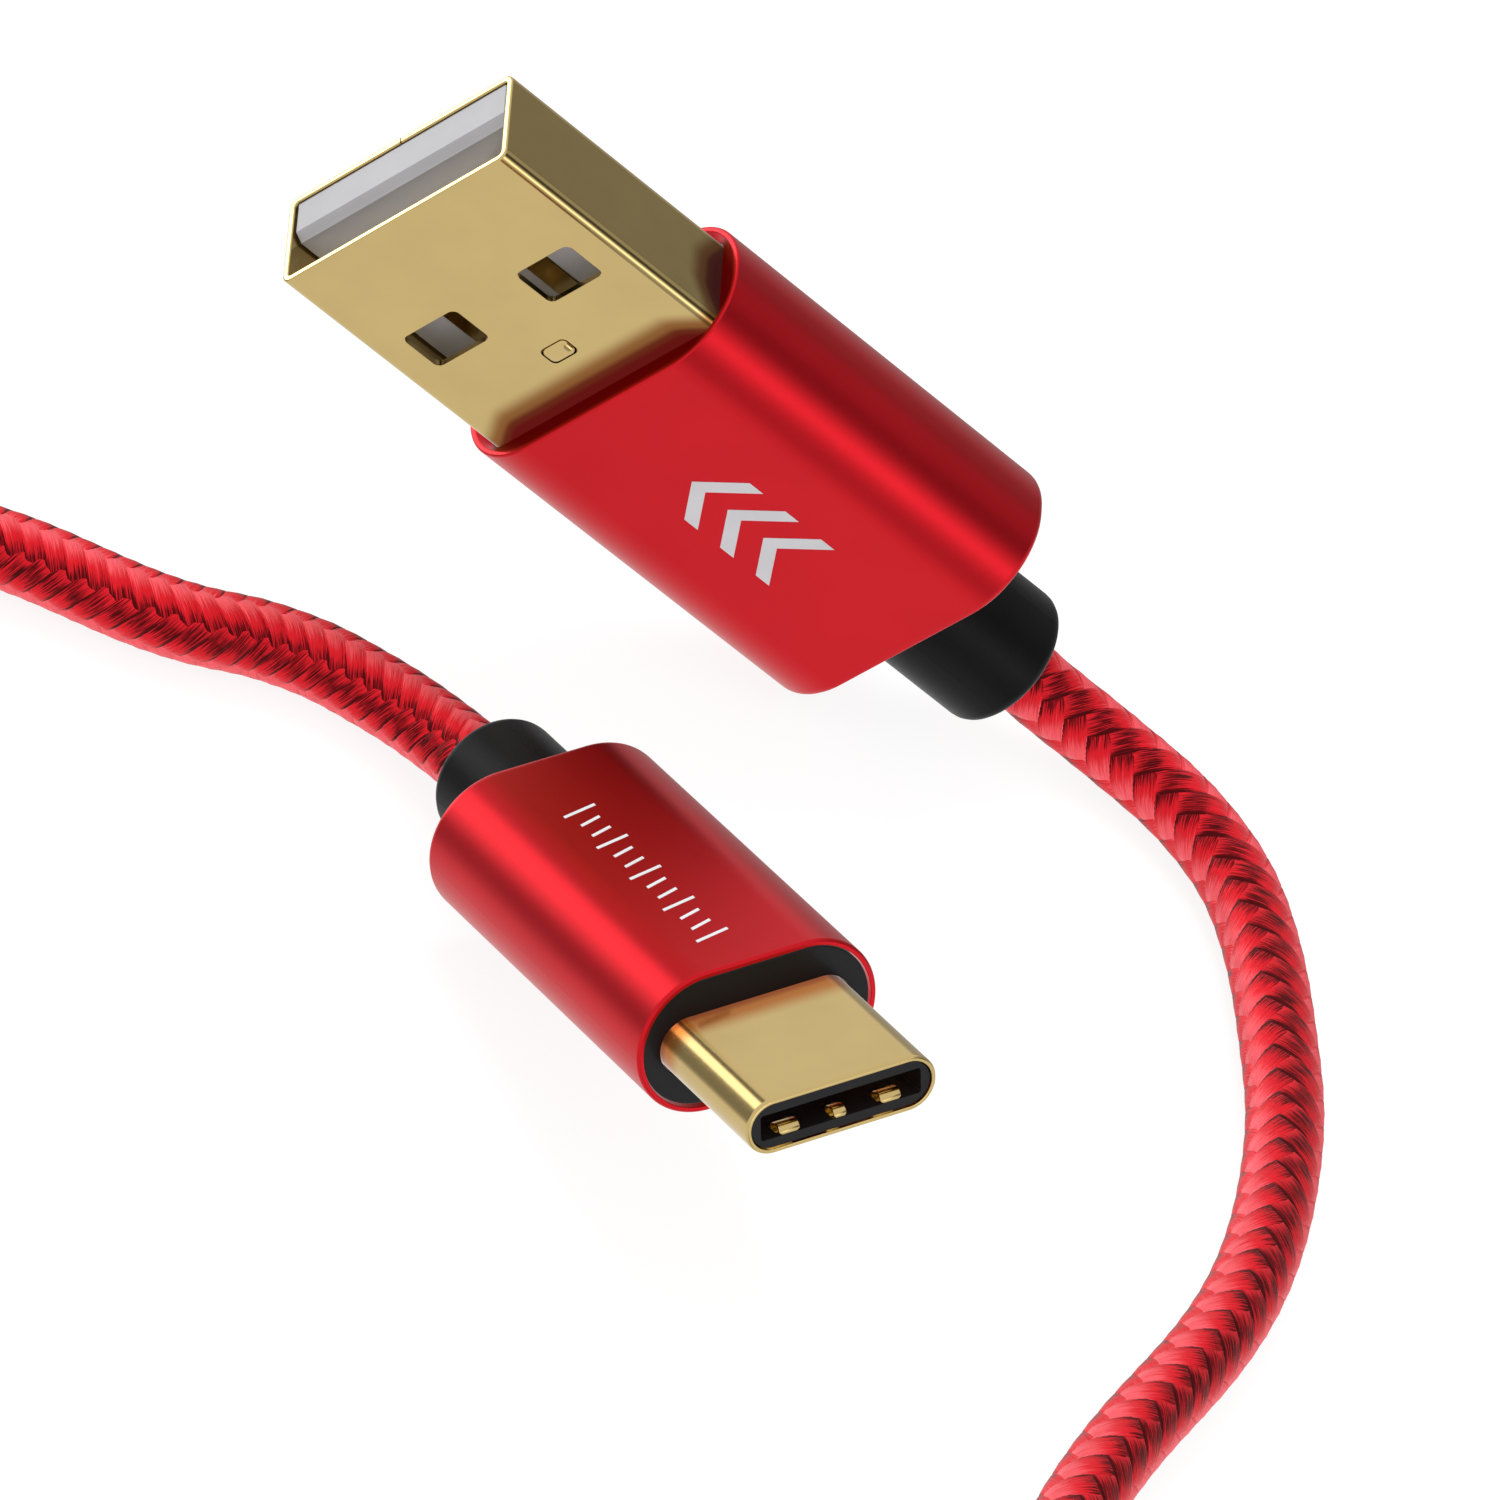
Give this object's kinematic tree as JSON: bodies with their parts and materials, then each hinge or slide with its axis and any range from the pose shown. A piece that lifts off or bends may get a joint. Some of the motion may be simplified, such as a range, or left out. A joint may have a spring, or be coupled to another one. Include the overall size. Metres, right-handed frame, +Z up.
{
  "type": "charging cable",
  "caption": "Braided charging cable with a flat rectangular plug on one end and a small rounded reversible plug on the other, both in red metal housings, spare length coiled and tied.",
  "frame": {"origin": "on the surface that the cable lies on, under the middle of the two plugs", "axes": "+Z up; +Y from the coil towards the plugs; +X to the right as seen from the coil"},
  "size_m": [0.0735, 0.1322, 0.0256],
  "materials": {
    "gold_plate": "polished gold-tone plating",
    "red_anodised": "satin red anodising",
    "black_rubber": "fine matt moulding",
    "black_plastic": "satin moulding",
    "grey_plastic": "satin moulding",
    "natural_plastic": "natural moulding compound",
    "sheet_steel": "plain stamped sheet",
    "board": "solder mask",
    "ceramic": "glazed chip",
    "red_braid": "glossy braided yarn over the jacket",
    "black_strap": "hook-and-loop tape",
    "red_insulation": "smooth insulation",
    "white_insulation": "smooth insulation",
    "green_insulation": "smooth insulation",
    "black_insulation": "smooth insulation"
  },
  "bodies": {
    "cable": {"a_shell": "gold_plate", "a_tongue": "grey_plastic", "a_contact_1": "gold_plate", "a_contact_2": "gold_plate", "a_contact_3": "gold_plate", "a_contact_4": "gold_plate", "a_housing": "red_anodised", "a_inner_mould": "natural_plastic", "a_cable_clamp": "sheet_steel", "a_strain_relief": "black_rubber", "a_wire_red": "red_insulation", "a_wire_white": "white_insulation", "a_wire_green": "green_insulation", "a_wire_black": "black_insulation", "c_shell": "gold_plate", "c_insulator": "black_plastic", "c_contact_block": "black_plastic", "c_ground_spring_top": "gold_plate", "c_ground_spring_bottom": "gold_plate", "c_contact_top_1": "gold_plate", "c_contact_top_2": "gold_plate", "c_contact_top_3": "gold_plate", "c_contact_top_4": "gold_plate", "c_contact_top_5": "gold_plate", "c_contact_top_6": "gold_plate", "c_contact_top_7": "gold_plate", "c_contact_bottom_1": "gold_plate", "c_contact_bottom_2": "gold_plate", "c_contact_bottom_3": "gold_plate", "c_contact_bottom_4": "gold_plate", "c_contact_bottom_5": "gold_plate", "c_board": "board", "c_resistor": "ceramic", "c_shield_can": "sheet_steel", "c_front_plate": "black_plastic", "c_housing": "red_anodised", "c_inner_mould": "natural_plastic", "c_cable_clamp": "sheet_steel", "c_strain_relief": "black_rubber", "c_wire_red": "red_insulation", "c_wire_white": "white_insulation", "c_wire_green": "green_insulation", "c_wire_black": "black_insulation", "cord_a": "red_braid", "cord_coil": "red_braid", "cord_c": "red_braid", "cable_tie": "black_strap"},
    "left_latch": {"c_latch_left": "sheet_steel"},
    "right_latch": {"c_latch_right": "sheet_steel"}
  },
  "joints": [
    {"name": "left_latch_spring", "type": "hinge", "parent": "cable", "child": "left_latch", "pos_m": [0.01459, -0.01404, 0.01136], "axis": [-0.4248, 0.0599, 0.9033], "range_deg": [0, 2.5], "stiffness_Nm_per_rad": 0.4},
    {"name": "right_latch_spring", "type": "hinge", "parent": "cable", "child": "right_latch", "pos_m": [0.01042, -0.0186, 0.0097], "axis": [0.4248, -0.0599, -0.9033], "range_deg": [0, 2.5], "stiffness_Nm_per_rad": 0.4}
  ]
}
